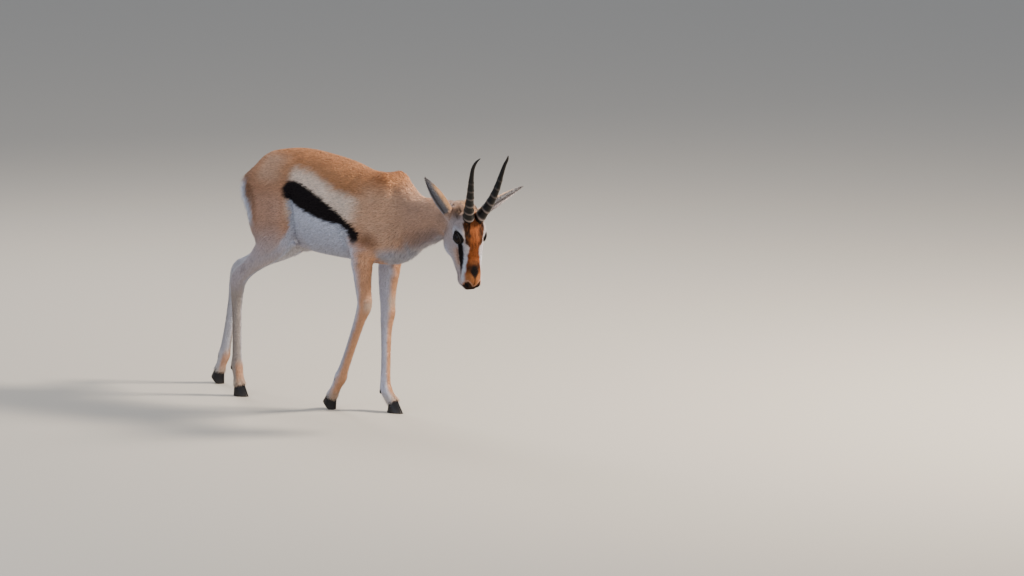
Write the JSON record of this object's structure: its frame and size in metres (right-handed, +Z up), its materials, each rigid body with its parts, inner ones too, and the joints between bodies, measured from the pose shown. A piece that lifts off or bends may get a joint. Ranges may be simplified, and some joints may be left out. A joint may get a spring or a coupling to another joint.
{
  "type": "thomson's gazelle model",
  "caption": "Life-size still model of a young Thomson's gazelle buck, walking stance with its head lowered and its face upright, ringed horns and cupped ears",
  "frame": {"origin": "on the floor plane, below the middle of the bounding box", "axes": "+X forwards along the trunk, +Y to the animal's left, +Z up"},
  "size_m": [1.0656, 0.2238, 0.681],
  "materials": {
    "coat": "short matte fur, tan with white and black markings",
    "tail_hair": "long coarse hair, near black",
    "eye": "gloss",
    "horn": "satin, ringed",
    "hoof": "satin"
  },
  "bodies": {
    "root": {"torso": "coat", "neck": "coat", "head": "coat", "ear_left": "coat", "ear_right": "coat", "foreleg_left_upper": "coat", "foreleg_left_lower": "coat", "foreleg_right_upper": "coat", "foreleg_right_lower": "coat", "hindleg_left_upper": "coat", "hindleg_left_lower": "coat", "hindleg_right_upper": "coat", "hindleg_right_lower": "coat", "tail": "tail_hair", "eye_left": "eye", "eye_right": "eye", "horn_left": "horn", "horn_right": "horn", "forehoof_left_left_claw": "hoof", "forehoof_left_right_claw": "hoof", "forehoof_right_left_claw": "hoof", "forehoof_right_right_claw": "hoof", "hindhoof_left_left_claw": "hoof", "hindhoof_left_right_claw": "hoof", "hindhoof_right_left_claw": "hoof", "hindhoof_right_right_claw": "hoof"}
  },
  "joints": []
}
